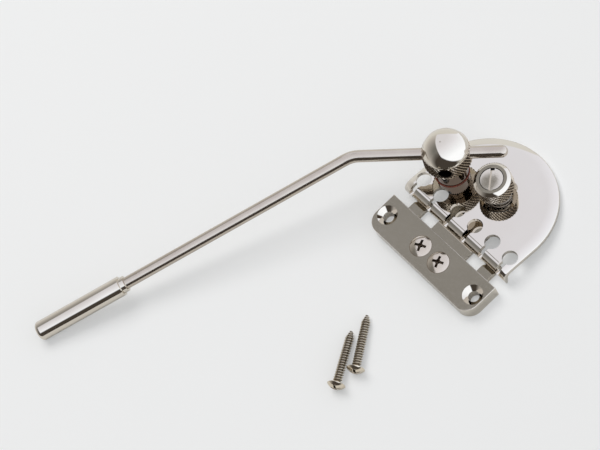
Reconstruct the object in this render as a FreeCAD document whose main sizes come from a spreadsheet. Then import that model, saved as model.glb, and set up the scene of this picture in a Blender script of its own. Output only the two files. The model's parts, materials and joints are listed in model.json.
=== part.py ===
import FreeCAD, Part
import math
import os
import re

# Guitar tremolo bridge: a bar screwed to the body, a string plate rocking on
# the bar's lugs, a sprung tension wheel and a swinging arm.
# X runs along the bar, Y from the bar to the rear of the plate and Z up.
# The bar's underside is at zero height. All sizes are millimetres and degrees.

doc = FreeCAD.newDocument("tremolo_bridge")
sizes = doc.addObject("Spreadsheet::Sheet", "Sizes")

SIZES = {
    # Mounting bar
    "bar_length": 61.5,
    "bar_width": 16,
    "bar_thickness": 6.4,
    "bar_corner": 6,
    "bar_edge": 0.2,
    "hole_inset": 4.75,
    "hole_radius": 2.3,
    "hole_mouth": 4.3,
    # Screws on the bar's centre line
    "centre_spacing": 10.7,
    "centre_shank": 2,
    "centre_head": 4.5,
    "centre_rise": 1,
    "centre_angle": 25,
    "recess_reach": 2.5,
    "recess_width": 1.1,
    "recess_depth": 2,
    "recess_point": 1.5,
    # Tongue under the bar
    "tongue_width": 20.3,
    "tongue_thickness": 2,
    "tongue_front": 6,
    "tongue_past": 6,
    "tongue_corner": 5,
    # Pivot lugs and hinge line
    "lug_inset": 9.5,
    "lug_width": 6,
    "lug_height": 2.6,
    "lug_tenon": 6,
    "lug_wall": 3.1,
    "hinge_y": 13.3,
    "hinge_z": 1.3,
    "knife_radius": 0.3,
    "knife_height": 2.6,
    "pivot_clearance": 0.05,
    # String plate, at its unstrung rest angle
    "rest_angle": 7,
    "plate_side": 0.45,
    "plate_reach": 46.3,
    "plate_height": 6.4,
    "plate_thickness": 1.8,
    "plate_edge": 0.4,
    "bend_radius": 3.5,
    "string_margin": 4.3,
    "keyhole_reach": 6.6,
    "keyhole_radius": 3.25,
    "slot_radius": 1.15,
    "slot_height": 3.8,
    "tongue_room": 0.8,
    # Arm post
    "post_inset": 10,
    "post_reach": 16.9,
    "washer_radius": 7.3,
    "washer_thickness": 0.4,
    "collar_radius": 7,
    "collar_top": 10.4,
    "collar_edge": 0.4,
    "tail_radius": 4.5,
    "tail_end": 0.3,
    "nut_radius": 6.5,
    "nut_thickness": 2,
    "stem_radius": 3,
    "stem_foot": 1,
    "stem_groove": 2,
    "groove_width": 3.2,
    "bore_floor": 0.3,
    "grub_radius": 1.3,
    "grub_height": 5,
    "grub_angle": 300,
    "grub_tip": 2.2,
    "grub_socket": 0.65,
    "grub_socket_depth": 1.5,
    # Arm head
    "head_radius": 9.7,
    "head_gap": 0.1,
    "head_centre": 15.5,
    "head_edge": 0.5,
    "arm_height": 14.55,
    "arm_angle": 225.3,
    "clamp_radius": 2.65,
    "clamp_length": 2.6,
    "clamp_socket": 1.3,
    "clamp_socket_depth": 2,
    # Arm rod and handle
    "rod_radius": 2.5,
    "stub_length": 24.7,
    "shoulder_length": 38.6,
    "bend_angle": 26.9,
    "elbow_radius": 13,
    "arm_length": 151.3,
    "rod_end": 8,
    "handle_radius": 4.25,
    "handle_length": 41,
    "handle_round": 1.8,
    "ferrule_radius": 3.4,
    "ferrule_length": 2.2,
    # Tension wheel, its screw, spring, washer and bush
    "stud_reach": 23.7,
    "stud_travel": 0.75,
    "stud_room": 0.3,
    "bush_radius": 3.2,
    "screw_radius": 2,
    "screw_foot": 2.6,
    "screw_head": 4.7,
    "screw_head_thickness": 2.6,
    "screw_slot": 1.7,
    "screw_slot_depth": 1.2,
    "screw_angle": 131,
    "wheel_radius": 7.6,
    "wheel_skirt": 3.6,
    "wheel_crown": 1.3,
    "wheel_travel": 0.7,
    "wheel_dome": 9.9,
    "wheel_wall": 1.4,
    "wheel_web": 0.9,
    "head_room": 0.15,
    "head_ring": 0.3,
    "thrust_thickness": 0.8,
    "spring_length": 7,
    "spring_radius": 4.9,
    "spring_wire": 0.6,
    "spring_turns": 2,
    # Loose wood screws
    "wood_length": 23.6,
    "wood_head": 3.75,
    "wood_rise": 1.8,
    "wood_seat": 1.3,
    "wood_thread": 1.9,
    "wood_point": 3,
    "wood_tip": 0.8,
    "wood_recess": 2.2,
    "near_x": 11.7,
    "near_y": -62.8,
    "near_angle": 124.5,
    "far_x": 12.6,
    "far_y": -52.95,
    "far_angle": 128,
    # Running fits and how far a cutter reaches past what it cuts
    "running_fit": 0.05,
    "cut_past": 3,
}
# Sizes that follow the bar's length
FOLLOWING = {
    "hole_spacing": "=bar_length - 2 * hole_inset",
    "plate_width": "=bar_length - 2 * plate_side",
}

for row, (alias, value) in enumerate({**SIZES, **FOLLOWING}.items(), start=1):
    sizes.set("A%d" % row, alias)
    sizes.set("B%d" % row, str(value))
    sizes.setAlias("B%d" % row, alias)
doc.recompute()


def sized(text):
    """Point every size word of an expression at the sheet."""
    return re.sub(r"[a-z]+(?:_[a-z]+)+", r"Sizes.\g<0>", text)


def vector(x, y, z):
    """Expression of a vector."""
    return "create(<<vector>>; %s; %s; %s)" % (x, y, z)


AXES = {"x": vector(1, 0, 0), "y": vector(0, 1, 0), "z": vector(0, 0, 1)}


def place(x="0", y="0", z="0", axis="z", angle="0"):
    """Expression of a placement: a spot, and a turn about one axis."""
    turn = "create(<<rotation>>; %s; %s)" % (AXES[axis], angle)
    return "create(<<placement>>; %s; %s)" % (vector(x, y, z), turn)


def solid(kind, name, where, **lengths):
    """A primitive whose lengths and placement follow the sheet."""
    item = doc.addObject("Part::" + kind, name)
    for key, text in lengths.items():
        item.setExpression(key, sized(text))
    item.setExpression("Placement", sized(where))
    return item


def block(name, where, x, y, z):
    """A box from its corner."""
    return solid("Box", name, where, Length=x, Width=y, Height=z)


def bar(name, where, radius, length):
    """A cylinder from the centre of its foot."""
    return solid("Cylinder", name, where, Radius=radius, Height=length)


def cone(name, where, foot, top, length):
    """A cone frustum from the centre of its foot."""
    return solid("Cone", name, where, Radius1=foot, Radius2=top, Height=length)


def ball(name, where, radius):
    """A whole sphere."""
    return solid("Sphere", name, where, Radius=radius)


def fuse(name, items):
    """Join solids into one, without seams."""
    item = doc.addObject("Part::MultiFuse", name)
    item.Shapes = items
    item.Refine = True
    return item


def cut(name, base, tools):
    """Take every tool away from the base."""
    item = doc.addObject("Part::Cut", name)
    item.Base = base
    item.Tool = tools[0] if len(tools) == 1 else fuse(name + "_tools", tools)
    return item


def common(name, items):
    """Keep what all the solids share."""
    item = doc.addObject("Part::MultiCommon", name)
    item.Shapes = items
    return item


def rounded(name, source, radius, wanted):
    """Round the edges that the test picks by their bounds."""
    doc.recompute()
    picked = []
    for number, edge in enumerate(source.Shape.Edges, start=1):
        if wanted(edge.BoundBox):
            picked.append((number, radius, radius))
    item = doc.addObject("Part::Fillet", name)
    item.Base = source
    item.Edges = picked
    return item


def size(name):
    """A size's value, for the few shapes that need plain numbers."""
    return sizes.get(name)


def near(one, other):
    """Whether two lengths are the same within a thousandth."""
    return abs(one - other) < 1e-3


ALONG_X = place(axis="y", angle="90")
ALONG_Y = place(axis="x", angle="-90")
# Pivot lugs stand in from the plate's ends
LUG_X = "(plate_width / 2 - lug_inset)"
# Frames of the tilted plate, the arm post, the arm, its long part and the wheel
PLATE = place("0", "hinge_y", "hinge_z", "x", "-rest_angle")
POST_X = "-(plate_width / 2 - post_inset)"
POST = PLATE + " * " + place(POST_X, "post_reach", "plate_height")
ARM = POST + " * " + place(angle="arm_angle")
# Roll of the cranked rod in its head at which the handle's tip rests on the table
ELBOW_Z = ("(hinge_z - (post_reach + shoulder_length * sin(arm_angle)) * sin(rest_angle)"
           " + (plate_height + arm_height) * cos(rest_angle))")
SINK = ("((handle_radius - %s) / (arm_length - handle_round)"
        " + cos(bend_angle) * sin(arm_angle) * sin(rest_angle))" % ELBOW_Z)
SWAY = "(-cos(arm_angle) * sin(rest_angle) * sin(bend_angle))"
LIFT = "(cos(rest_angle) * sin(bend_angle))"
ROLL = "atan2(%s; %s) - acos(%s / sqrt(%s ^ 2 + %s ^ 2))" % (LIFT, SWAY, SINK, SWAY, LIFT)
LONG = place("shoulder_length", "0", "arm_height", "x", ROLL) + " * " + place(angle="bend_angle")
# The wheel's screw stands upright on the tongue, over the spot stud_reach along the plate's top
STUD = place("0", "hinge_y + stud_reach * cos(rest_angle) + plate_height * sin(rest_angle)",
             "hinge_z - stud_reach * sin(rest_angle) + plate_height * cos(rest_angle)")

parts = []


def part(label, item, where=None):
    """Name a finished piece and set it in its frame."""
    item.Label = label
    if where:
        item.setExpression("Placement", sized(where))
    parts.append(item)


def slab(name, where, width, depth, height, corner):
    """A flat piece with its two far corners round in plan."""
    half = "(%s) / 2" % width
    inner = "(%s) - (%s)" % (half, corner)
    straight = "(%s) - (%s)" % (depth, corner)
    pieces = [
        block(name + "_body", place("-(%s)" % half), width, straight, height),
        block(name + "_nose", place("-(%s)" % inner), "2 * (%s)" % inner, depth, height),
    ]
    for side, sign in (("left", "-"), ("right", "")):
        spot = place("%s(%s)" % (sign, inner), straight)
        pieces.append(bar(name + "_corner_" + side, spot, corner, height))
    whole = fuse(name + "_blank", pieces)
    whole.setExpression("Placement", sized(where))
    return whole


def cross_recess(name, where, reach, width, depth):
    """Cutter of a cross recess: two crossed blades and a pointed middle."""
    pieces = []
    for turn in (0, 90):
        blade = place("-(%s)" % reach, "-(%s) / 2" % width, "-(%s)" % depth)
        spot = where + " * " + place(angle=str(turn)) + " * " + blade
        blade_name = "%s_blade_%d" % (name, turn)
        pieces.append(block(blade_name, spot, "2 * (%s)" % reach, width, "%s + cut_past" % depth))
    middle = where + " * " + place(z="-recess_point * (%s)" % depth)
    pieces.append(cone(name + "_middle", middle, width + " / 4", width, "recess_point * (%s)" % depth))
    return pieces


def screw_cap(name, where, radius, rise):
    """The raised top of an oval screw head: a shallow slice of a sphere."""
    sphere = "((%s) ^ 2 + (%s) ^ 2) / (2 * (%s))" % (radius, rise, rise)
    whole = ball(name + "_sphere", where + " * " + place(z="%s - %s" % (rise, sphere)), sphere)
    limit = bar(name + "_limit", where, radius, rise)
    return common(name, [whole, limit])


# Mounting bar: countersunk at both ends, with room below for tongue and lugs
def mounting_bar():
    flipped = place("0", "bar_width / 2", "0", "z", "180")
    blank = slab("bar", flipped, "bar_length", "bar_width", "bar_thickness", "bar_corner")
    top = size("bar_thickness")
    soft = rounded("bar_soft", blank, size("bar_edge"),
                   lambda box: near(box.ZMin, top) and near(box.ZMax, top))
    tools = []
    for side, sign in (("left", "-"), ("right", "")):
        hole_x = sign + "hole_spacing / 2"
        tools.append(bar("hole_" + side, place(hole_x, "0", "-cut_past"),
                         "hole_radius", "bar_thickness + 2 * cut_past"))
        tools.append(cone("hole_mouth_" + side,
                          place(hole_x, "0", "bar_thickness - (hole_mouth - hole_radius)"),
                          "hole_radius", "hole_mouth", "hole_mouth - hole_radius"))
        screw_x = sign + "centre_spacing / 2"
        tools.append(bar("centre_hole_" + side, place(screw_x, "0", "-cut_past"),
                         "centre_shank", "bar_thickness + 2 * cut_past"))
        tools.append(cone("centre_mouth_" + side,
                          place(screw_x, "0", "bar_thickness - (centre_head - centre_shank)"),
                          "centre_shank", "centre_head", "centre_head - centre_shank"))
        lug_x = "%s%s - lug_width / 2" % (sign, LUG_X)
        tools.append(block("lug_room_" + side, place(lug_x, "bar_width / 2 - lug_tenon", "-cut_past"),
                           "lug_width", "lug_tenon + cut_past", "lug_height + cut_past"))
    tools.append(block("tongue_room_cut", place("-tongue_width / 2", "-tongue_front", "-cut_past"),
                       "tongue_width", "tongue_front + bar_width", "tongue_thickness + cut_past"))
    part("mounting_bar", cut("bar_cut", soft, tools))


# Tongue: screwed into the bar's underside, it carries the bush of the wheel
def base_tongue():
    blank = slab("tongue", place("0", "-tongue_front"), "tongue_width",
                 "tongue_front + hinge_y + stud_reach + tongue_past", "tongue_thickness", "tongue_corner")
    tools = [bar("bush_hole", STUD + " * " + place(z="-plate_height - 2 * cut_past"),
                 "bush_radius", "plate_height + 2 * cut_past")]
    for side, sign in (("left", "-"), ("right", "")):
        spot = place(sign + "centre_spacing / 2", "0", "-cut_past")
        tools.append(bar("tongue_hole_" + side, spot, "centre_shank", "tongue_thickness + 2 * cut_past"))
    part("base_tongue", cut("tongue_cut", blank, tools))


def centre_screw(side, sign):
    """One raised-head screw through the bar into the tongue."""
    name = "centre_screw_" + side
    top = place(sign + "centre_spacing / 2", "0", "bar_thickness")
    seat = top + " * " + place(z="-(centre_head - centre_shank)")
    shank = top + " * " + place(z="-bar_thickness")
    body = fuse(name + "_body", [
        screw_cap(name + "_cap", top, "centre_head", "centre_rise"),
        cone(name + "_seat", seat, "centre_shank", "centre_head", "centre_head - centre_shank"),
        bar(name + "_shank", shank, "centre_shank", "bar_thickness"),
    ])
    crown = top + " * " + place(z="centre_rise", angle="centre_angle")
    recess = cross_recess(name + "_recess", crown, "recess_reach", "recess_width", "recess_depth")
    return cut(name, body, recess)


def centre_screws():
    pair = doc.addObject("Part::Compound", "centre_pair")
    pair.Links = [centre_screw("left", "-"), centre_screw("right", "")]
    part("centre_screws", pair)


# Pivot lugs: each has a tenon in the bar and a notch that the knife edge rocks in
def pivot_lug(side, sign):
    corner = place("%s%s - lug_width / 2" % (sign, LUG_X), "bar_width / 2 - lug_tenon")
    reach = "hinge_y + lug_wall - bar_width / 2 + lug_tenon"
    blank = block("lug_blank_" + side, corner, "lug_width", reach, "lug_height")
    low = "hinge_z - (knife_radius + pivot_clearance) * sqrt(2)"
    spot = place("%s%s - lug_width / 2 - cut_past" % (sign, LUG_X), "hinge_y", low, "x", "45")
    notch = block("lug_notch_" + side, spot, "lug_width + 2 * cut_past",
                  "lug_height + cut_past", "lug_height + cut_past")
    part("pivot_lug_" + side, cut("lug_" + side, blank, [notch]))


# String plate: a D with its front edge bent down into a knife-edged lip
def string_plate():
    half = "plate_width / 2"
    lip = "plate_thickness / 2"
    under = "plate_height - plate_thickness"
    flat_start = "bend_radius - %s" % lip
    bend_level = "plate_height - bend_radius"
    arc_centre = "plate_reach - %s" % half
    flat = block("plate_flat", place("-" + half, flat_start, under),
                 "plate_width", "%s - (%s)" % (arc_centre, flat_start), "plate_thickness")
    disc = solid("Cylinder", "plate_disc", place("0", arc_centre, under),
                 Radius=half, Height="plate_thickness", Angle="180")
    across = place("-" + half, flat_start, bend_level) + " * " + ALONG_X
    outer = bar("bend_outer", across, "bend_radius", "plate_width")
    inner = bar("bend_inner", across, "bend_radius - plate_thickness", "plate_width")
    corner = block("bend_corner", place("-" + half, "-" + lip, bend_level),
                   "plate_width", "bend_radius", "bend_radius")
    bend = common("plate_bend", [cut("bend_ring", outer, [inner]), corner])
    wall = block("lip_wall", place("-" + half, "-" + lip, "knife_height"), "plate_width",
                 "plate_thickness", "%s - knife_height" % bend_level)
    knife = solid("Wedge", "lip_knife", place(axis="x", angle="90"),
                  Xmin="-" + half, Xmax=half, X2min="-" + half, X2max=half,
                  Ymax="knife_height",
                  Zmin="-knife_radius", Zmax="knife_radius", Z2min="-" + lip, Z2max=lip)
    tip = bar("lip_tip", place("-" + half) + " * " + ALONG_X, "knife_radius", "plate_width")
    sheet = fuse("plate_sheet", [flat, disc, bend, wall, knife, tip])
    top = size("plate_height")
    rim = size("plate_width") / 2
    start = size("bend_radius") - size("plate_thickness") / 2
    soft = rounded("plate_soft", sheet, size("plate_edge"),
                   lambda box: near(box.ZMin, top) and near(box.ZMax, top)
                   and box.YMax > start + rim * 0.1)
    tools = [block("tongue_notch", place("-tongue_width / 2 - tongue_room", "-cut_past", "-cut_past"),
                   "tongue_width + 2 * tongue_room", "2 * cut_past",
                   "tongue_thickness + tongue_room - hinge_z + cut_past")]
    for number in range(6):
        string_x = "(plate_width - 2 * string_margin) * %.1f" % (number / 5 - 0.5)
        tools.append(bar("keyhole_%d" % number, place(string_x, "keyhole_reach", "%s - cut_past" % under),
                         "keyhole_radius", "plate_thickness + 2 * cut_past"))
        tools.append(block("slot_%d" % number, place(string_x + " - slot_radius", "-cut_past", "slot_height"),
                           "2 * slot_radius", "keyhole_reach + cut_past", "plate_height"))
        tools.append(bar("slot_end_%d" % number,
                         place(string_x, "-cut_past", "slot_height") + " * " + ALONG_Y,
                         "slot_radius", "%s + cut_past" % flat_start))
    tools.append(bar("post_hole", place(POST_X, "post_reach", "%s - cut_past" % under),
                     "tail_radius", "plate_thickness + 2 * cut_past"))
    room = "bush_radius + stud_room"
    for end, extra in (("front", "0"), ("rear", "stud_travel")):
        tools.append(bar("stud_hole_" + end,
                         place("0", "stud_reach + " + extra, "%s - cut_past" % under),
                         room, "plate_thickness + 2 * cut_past"))
    tools.append(block("stud_hole_middle", place("-(%s)" % room, "stud_reach", "%s - cut_past" % under),
                       "2 * (%s)" % room, "stud_travel", "plate_thickness + 2 * cut_past"))
    part("string_plate", cut("plate_cut", soft, tools), PLATE)


# Arm post: washer, collar and nut on the plate, with a grub screw in the collar
def arm_post():
    washer = cut("washer_ring", bar("washer_disc", place(), "washer_radius", "washer_thickness"),
                 [bar("washer_hole", place(z="-cut_past"), "tail_radius", "washer_thickness + 2 * cut_past")])
    part("post_washer", washer, POST)
    below = "plate_thickness + nut_thickness + tail_end"
    drum = bar("collar_drum", place(z="washer_thickness"), "collar_radius", "collar_top - washer_thickness")
    top = size("collar_top")
    soft = rounded("collar_soft", drum, size("collar_edge"),
                   lambda box: near(box.ZMin, top) and near(box.ZMax, top))
    tail = bar("collar_tail", place(z="-(%s)" % below), "tail_radius", "%s + collar_top / 2" % below)
    bore = bar("collar_bore", place(z="stem_foot - bore_floor"), "stem_radius + running_fit", "collar_top")
    side = place(z="grub_height", angle="grub_angle") + " * " + ALONG_X
    hole = bar("grub_hole", side, "grub_radius", "collar_radius + cut_past")
    part("arm_collar", cut("collar_cut", fuse("collar_body", [soft, tail]), [bore, hole]), POST)
    stud = bar("grub_stud", side + " * " + place(z="grub_tip"), "grub_radius", "collar_radius - grub_tip")
    socket_start = "collar_radius - grub_socket_depth"
    socket = solid("Prism", "grub_socket_cut", side + " * " + place(z=socket_start),
                   Circumradius="grub_socket", Height="grub_socket_depth + cut_past")
    flush = bar("grub_flush", place(), "collar_radius", "collar_top")
    part("collar_grub_screw", common("grub_trim", [cut("grub_cut", stud, [socket]), flush]), POST)
    hexagon = solid("Prism", "nut_hexagon", place(z="-plate_thickness - nut_thickness"),
                    Circumradius="nut_radius", Height="nut_thickness")
    nut_hole = bar("nut_hole", place(z="-plate_thickness - nut_thickness - cut_past"),
                   "tail_radius", "nut_thickness + 2 * cut_past")
    part("post_nut", cut("nut_cut", hexagon, [nut_hole]), POST)


# Arm head: a knurled drum under a half ball, turning in the collar on its stem
def arm_head():
    foot = "collar_top + head_gap"
    drum = bar("head_drum", place(z=foot), "head_radius", "head_centre - (%s)" % foot)
    low = size("collar_top") + size("head_gap")
    soft = rounded("head_soft", drum, size("head_edge"),
                   lambda box: near(box.ZMin, low) and near(box.ZMax, low))
    dome = ball("head_dome", place(z="head_centre"), "head_radius")
    dome.Angle1 = 0
    stem = bar("head_stem", place(z="stem_foot"), "stem_radius", "%s - stem_foot + head_radius / 4" % foot)
    groove_foot = place(z="grub_height - groove_width / 2")
    groove = cut("groove_ring", bar("groove_outer", groove_foot, "stem_radius + cut_past", "groove_width"),
                 [bar("groove_inner", groove_foot, "stem_groove", "groove_width")])
    through = bar("arm_bore", place("-2 * head_radius", "0", "arm_height") + " * " + ALONG_X,
                  "rod_radius + running_fit", "4 * head_radius")
    clamp = bar("clamp_bore", place("0", "0", "arm_height") + " * " + place(axis="x", angle="-90"),
                "clamp_radius", "2 * head_radius")
    whole = fuse("head_body", [soft, dome, stem])
    part("arm_head", cut("head_cut", whole, [groove, through, clamp]), ARM)
    start = place("0", "rod_radius + running_fit", "arm_height") + " * " + ALONG_Y
    screw = bar("clamp_stud", start, "clamp_radius", "clamp_length")
    socket = solid("Prism", "clamp_socket_cut", start + " * " + place(z="clamp_length - clamp_socket_depth"),
                   Circumradius="clamp_socket", Height="clamp_socket_depth + cut_past")
    part("arm_clamp_screw", cut("clamp_cut", screw, [socket]), ARM)


# Arm rod with its elbow, and the handle and ferrule on its far end
def arm_rod():
    tangent = "elbow_radius * tan(bend_angle / 2)"
    stub = place("-(stub_length - rod_radius)", "0", "arm_height")
    first = bar("rod_first", stub + " * " + ALONG_X, "rod_radius",
                "stub_length - rod_radius + shoulder_length - %s" % tangent)
    end = ball("rod_stub_end", stub, "rod_radius")
    elbow_spot = place("shoulder_length - %s" % tangent, "0", "arm_height", "x", ROLL)
    elbow_spot = elbow_spot + " * " + place("0", "elbow_radius", "0", "z", "-90")
    elbow = solid("Torus", "rod_elbow", elbow_spot, Radius1="elbow_radius",
                  Radius2="rod_radius", Angle3="bend_angle")
    second = bar("rod_second", LONG + " * " + place(tangent) + " * " + ALONG_X, "rod_radius",
                 "arm_length - rod_end - %s" % tangent)
    part("arm_rod", fuse("rod_body", [first, end, elbow, second]), ARM)
    mouth = "arm_length - handle_length"
    sleeve = bar("handle_sleeve", place(mouth) + " * " + ALONG_X, "handle_radius", "handle_length")
    tip = size("arm_length")
    soft = rounded("handle_soft", sleeve, size("handle_round"),
                   lambda box: near(box.XMin, tip) and near(box.XMax, tip))
    socket = bar("handle_bore", place(mouth + " - cut_past") + " * " + ALONG_X, "rod_radius",
                 "handle_length - rod_end + cut_past")
    part("arm_handle", cut("handle_cut", soft, [socket]), ARM + " * " + LONG)
    ring = bar("ferrule_ring", place(mouth + " - ferrule_length") + " * " + ALONG_X,
               "ferrule_radius", "ferrule_length")
    ring_hole = bar("ferrule_hole", place(mouth + " - ferrule_length - cut_past") + " * " + ALONG_X,
                    "rod_radius", "ferrule_length + 2 * cut_past")
    part("handle_ferrule", cut("ferrule_cut", ring, [ring_hole]), ARM + " * " + LONG)


# Tension gear: a bush in the tongue, and a wheel that the slotted screw draws down
def tension_gear():
    web_under = "spring_length + thrust_thickness"
    head_seat = web_under + " + wheel_web"
    screw_top = head_seat + " + screw_head_thickness"
    wheel_top = screw_top + " + head_room"
    wheel_under = web_under + " - wheel_skirt"
    bush_top = "spring_length - wheel_travel - stud_room"
    bush_floor = "screw_foot + wheel_travel + stud_room"

    deep = "plate_height + 2 * cut_past"
    tube = bar("bush_drum", STUD + " * " + place(z="-(%s)" % deep), "bush_radius", deep + " + " + bush_top)
    bore = bar("bush_bore", STUD + " * " + place(z="-(%s)" % bush_floor), "screw_radius + running_fit",
               "%s + %s + cut_past" % (bush_floor, bush_top))
    above = block("above_body", place("-bar_length / 2"), "bar_length", "2 * plate_reach", "2 * plate_reach")
    part("tension_bush", common("bush_trim", [cut("bush_tube", tube, [bore]), above]))

    head = bar("screw_head_drum", place(z=head_seat), "screw_head", "screw_head_thickness")
    shank = bar("screw_shank", place(z="-screw_foot"), "screw_radius", "screw_foot + " + head_seat)
    slot_corner = place("-2 * screw_head", "-screw_slot / 2", screw_top + " - screw_slot_depth")
    slot = block("screw_slot_cut", place(angle="screw_angle") + " * " + slot_corner,
                 "4 * screw_head", "screw_slot", "screw_slot_depth + cut_past")
    part("tension_screw", cut("screw_cut", fuse("screw_body", [head, shank]), [slot]), STUD)

    drum = bar("wheel_drum", place(z=wheel_under), "wheel_radius", "%s - (%s)" % (wheel_top, wheel_under))
    dome_drop = "wheel_crown + sqrt(wheel_dome ^ 2 - wheel_radius ^ 2)"
    dome = ball("wheel_dome_ball", place(z="%s - (%s)" % (wheel_top, dome_drop)), "wheel_dome")
    cup = bar("wheel_cup", place(z=wheel_under + " - cut_past"), "wheel_radius - wheel_wall",
              "wheel_skirt + cut_past")
    seat = bar("wheel_seat", place(z=head_seat), "screw_head + head_ring", "screw_head_thickness + cut_past")
    hole = bar("wheel_hole", place(z=web_under + " - cut_past"), "screw_radius", "wheel_web + 2 * cut_past")
    part("tension_wheel", cut("wheel_cut", common("wheel_body", [drum, dome]), [cup, seat, hole]), STUD)

    disc = bar("thrust_disc", place(z="spring_length"), "wheel_radius - wheel_wall - stud_room",
               "thrust_thickness")
    disc_hole = bar("thrust_hole", place(z="spring_length - cut_past"), "screw_radius + stud_room",
                    "thrust_thickness + 2 * cut_past")
    part("thrust_washer", cut("thrust_cut", disc, [disc_hole]), STUD)


def biarc(start, start_way, end, end_way):
    """Two arcs with a common tangent from one point and direction to another."""
    chord = end - start
    both = start_way + end_way
    spread = 2 * (1 - start_way.dot(end_way))
    along = chord.dot(both)
    reach = (math.sqrt(along ** 2 + spread * chord.dot(chord)) - along) / spread
    first = start + start_way * reach
    second = end - end_way * reach
    joint = (first + second) * 0.5
    arcs = []
    for foot, corner, top in ((start, first, joint), (joint, second, end)):
        weight = (top - foot).Length / (2 * reach)
        middle = (foot + corner * (2 * weight) + top) * (1 / (2 + 2 * weight))
        arcs.append(Part.Arc(foot, middle, top).toShape())
    return arcs


# Spring: one helix from the leaning plate's top, which its front touches, to the thrust washer
def tension_spring():
    wire = size("spring_wire")
    radius = size("spring_radius")
    turns = size("spring_turns")
    lean = math.radians(size("rest_angle"))
    start = (wire + radius * math.sin(lean)) / math.cos(lean)
    rise = size("spring_length") - wire - start
    slope = rise / (2 * math.pi * turns)

    def spot(angle):
        return FreeCAD.Vector(radius * math.sin(angle), -radius * math.cos(angle), start + slope * angle)

    def way(angle):
        step = FreeCAD.Vector(radius * math.cos(angle), radius * math.sin(angle), slope)
        return step.normalize()

    quarters = max(1, round(4 * turns))
    angles = [2 * math.pi * turns * step / quarters for step in range(quarters + 1)]
    arcs = []
    for low, high in zip(angles, angles[1:]):
        arcs.extend(biarc(spot(low), way(low), spot(high), way(high)))
    route = Part.Wire(arcs)
    ring = Part.Wire([Part.Circle(spot(0), way(0), wire).toShape()])
    coil = route.makePipeShell([ring], True, False)

    steps = 72
    points = [spot(2 * math.pi * step / steps) for step in range(int(turns * steps) + 1)]
    gaps = []
    for low, one in enumerate(points):
        for other in points[low + steps // 2:]:
            gaps.append((other - one).Length - 2 * wire)
    print("least gap between spring coils %.3f mm" % min(gaps))

    item = doc.addObject("Part::Feature", "spring_coil")
    item.Shape = coil
    part("tension_spring", item, STUD)


# Loose wood screws lying on the table on their heads' rims and threads
def wood_screw(name, spot_x, spot_y, turn):
    lean = "atan((wood_head - wood_thread) / (wood_length - wood_point))"
    where = place(spot_x, spot_y, "wood_head * cos(%s)" % lean, "z", turn)
    where = where + " * " + place(axis="y", angle="90 deg + %s" % lean)
    crown = place(axis="x", angle="180")
    body = fuse(name + "_body", [
        screw_cap(name + "_cap", crown, "wood_head", "wood_rise"),
        cone(name + "_seat", place(), "wood_head", "wood_thread", "wood_seat"),
        bar(name + "_thread", place(), "wood_thread", "wood_length - wood_point"),
        cone(name + "_point", place(z="wood_length - wood_point"), "wood_thread", "wood_tip", "wood_point"),
    ])
    top = crown + " * " + place(z="wood_rise")
    recess = cross_recess(name + "_recess", top, "wood_recess", "recess_width", "recess_depth")
    part(name, cut(name + "_cut", body, recess), where)


mounting_bar()
base_tongue()
centre_screws()
pivot_lug("left", "-")
pivot_lug("right", "")
string_plate()
arm_post()
arm_head()
arm_rod()
tension_gear()
tension_spring()
wood_screw("wood_screw_near", "near_x", "near_y", "near_angle")
wood_screw("wood_screw_far", "far_x", "far_y", "far_angle")
doc.recompute()

for item in doc.Objects:
    if "Invalid" in item.State or "Error" in item.State:
        raise RuntimeError("%s does not rebuild" % item.Name)

os.makedirs("parts", exist_ok=True)
for item in parts:
    shape = item.Shape
    if shape.isNull() or not shape.isValid() or not shape.Solids:
        raise RuntimeError("%s has no sound shape" % item.Label)
    shape.exportStep("parts/%s.step" % item.Label)
    print("%-20s %2d solid %10.3f mm3" % (item.Label, len(shape.Solids), shape.Volume))
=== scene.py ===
import json
import math

import bpy
import numpy as np
from mathutils import Matrix, Vector


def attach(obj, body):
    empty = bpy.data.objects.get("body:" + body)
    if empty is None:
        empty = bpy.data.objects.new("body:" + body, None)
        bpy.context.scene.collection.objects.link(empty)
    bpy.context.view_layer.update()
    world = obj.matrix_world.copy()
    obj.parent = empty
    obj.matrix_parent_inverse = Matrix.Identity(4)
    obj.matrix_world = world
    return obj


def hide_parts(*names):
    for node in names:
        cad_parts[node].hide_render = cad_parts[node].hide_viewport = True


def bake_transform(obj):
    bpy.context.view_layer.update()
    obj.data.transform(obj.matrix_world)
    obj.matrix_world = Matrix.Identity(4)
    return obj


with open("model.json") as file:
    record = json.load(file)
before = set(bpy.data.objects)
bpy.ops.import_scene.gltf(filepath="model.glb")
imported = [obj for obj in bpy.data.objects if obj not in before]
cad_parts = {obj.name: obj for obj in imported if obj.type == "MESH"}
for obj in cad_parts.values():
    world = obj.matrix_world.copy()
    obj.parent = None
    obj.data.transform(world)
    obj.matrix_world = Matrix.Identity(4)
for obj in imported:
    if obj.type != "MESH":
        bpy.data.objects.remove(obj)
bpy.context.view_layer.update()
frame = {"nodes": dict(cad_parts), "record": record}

# Looks of a guitar tremolo bridge: knurls, screw threads, the coil spring,
# plated finishes, a pale table and a soft studio.
# Piece sizes are millimetres and degrees; meshes are in metres.

MILLIMETRE = 0.001

# String plate's own frame: across, along from the hinge line, and above it
HINGE_Y = 13.3
HINGE_Z = 1.3
REST_ANGLE = 7
PLATE_TOP = 6.4
PLATE_REACH = 46.3
PLATE_HALF = 30.3
RIM_BAND = 6
RIM_DROP = 1.8

# Arm post and its head
POST_X = -20.3
POST_REACH = 16.9
HEAD_RADIUS = 9.7
HEAD_UNDER = 10.5
HEAD_CENTRE = 15.5
ARM_HEIGHT = 14.55
ARM_ANGLE = 225.3
ROD_RADIUS = 2.5
CLAMP_RADIUS = 2.65

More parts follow.
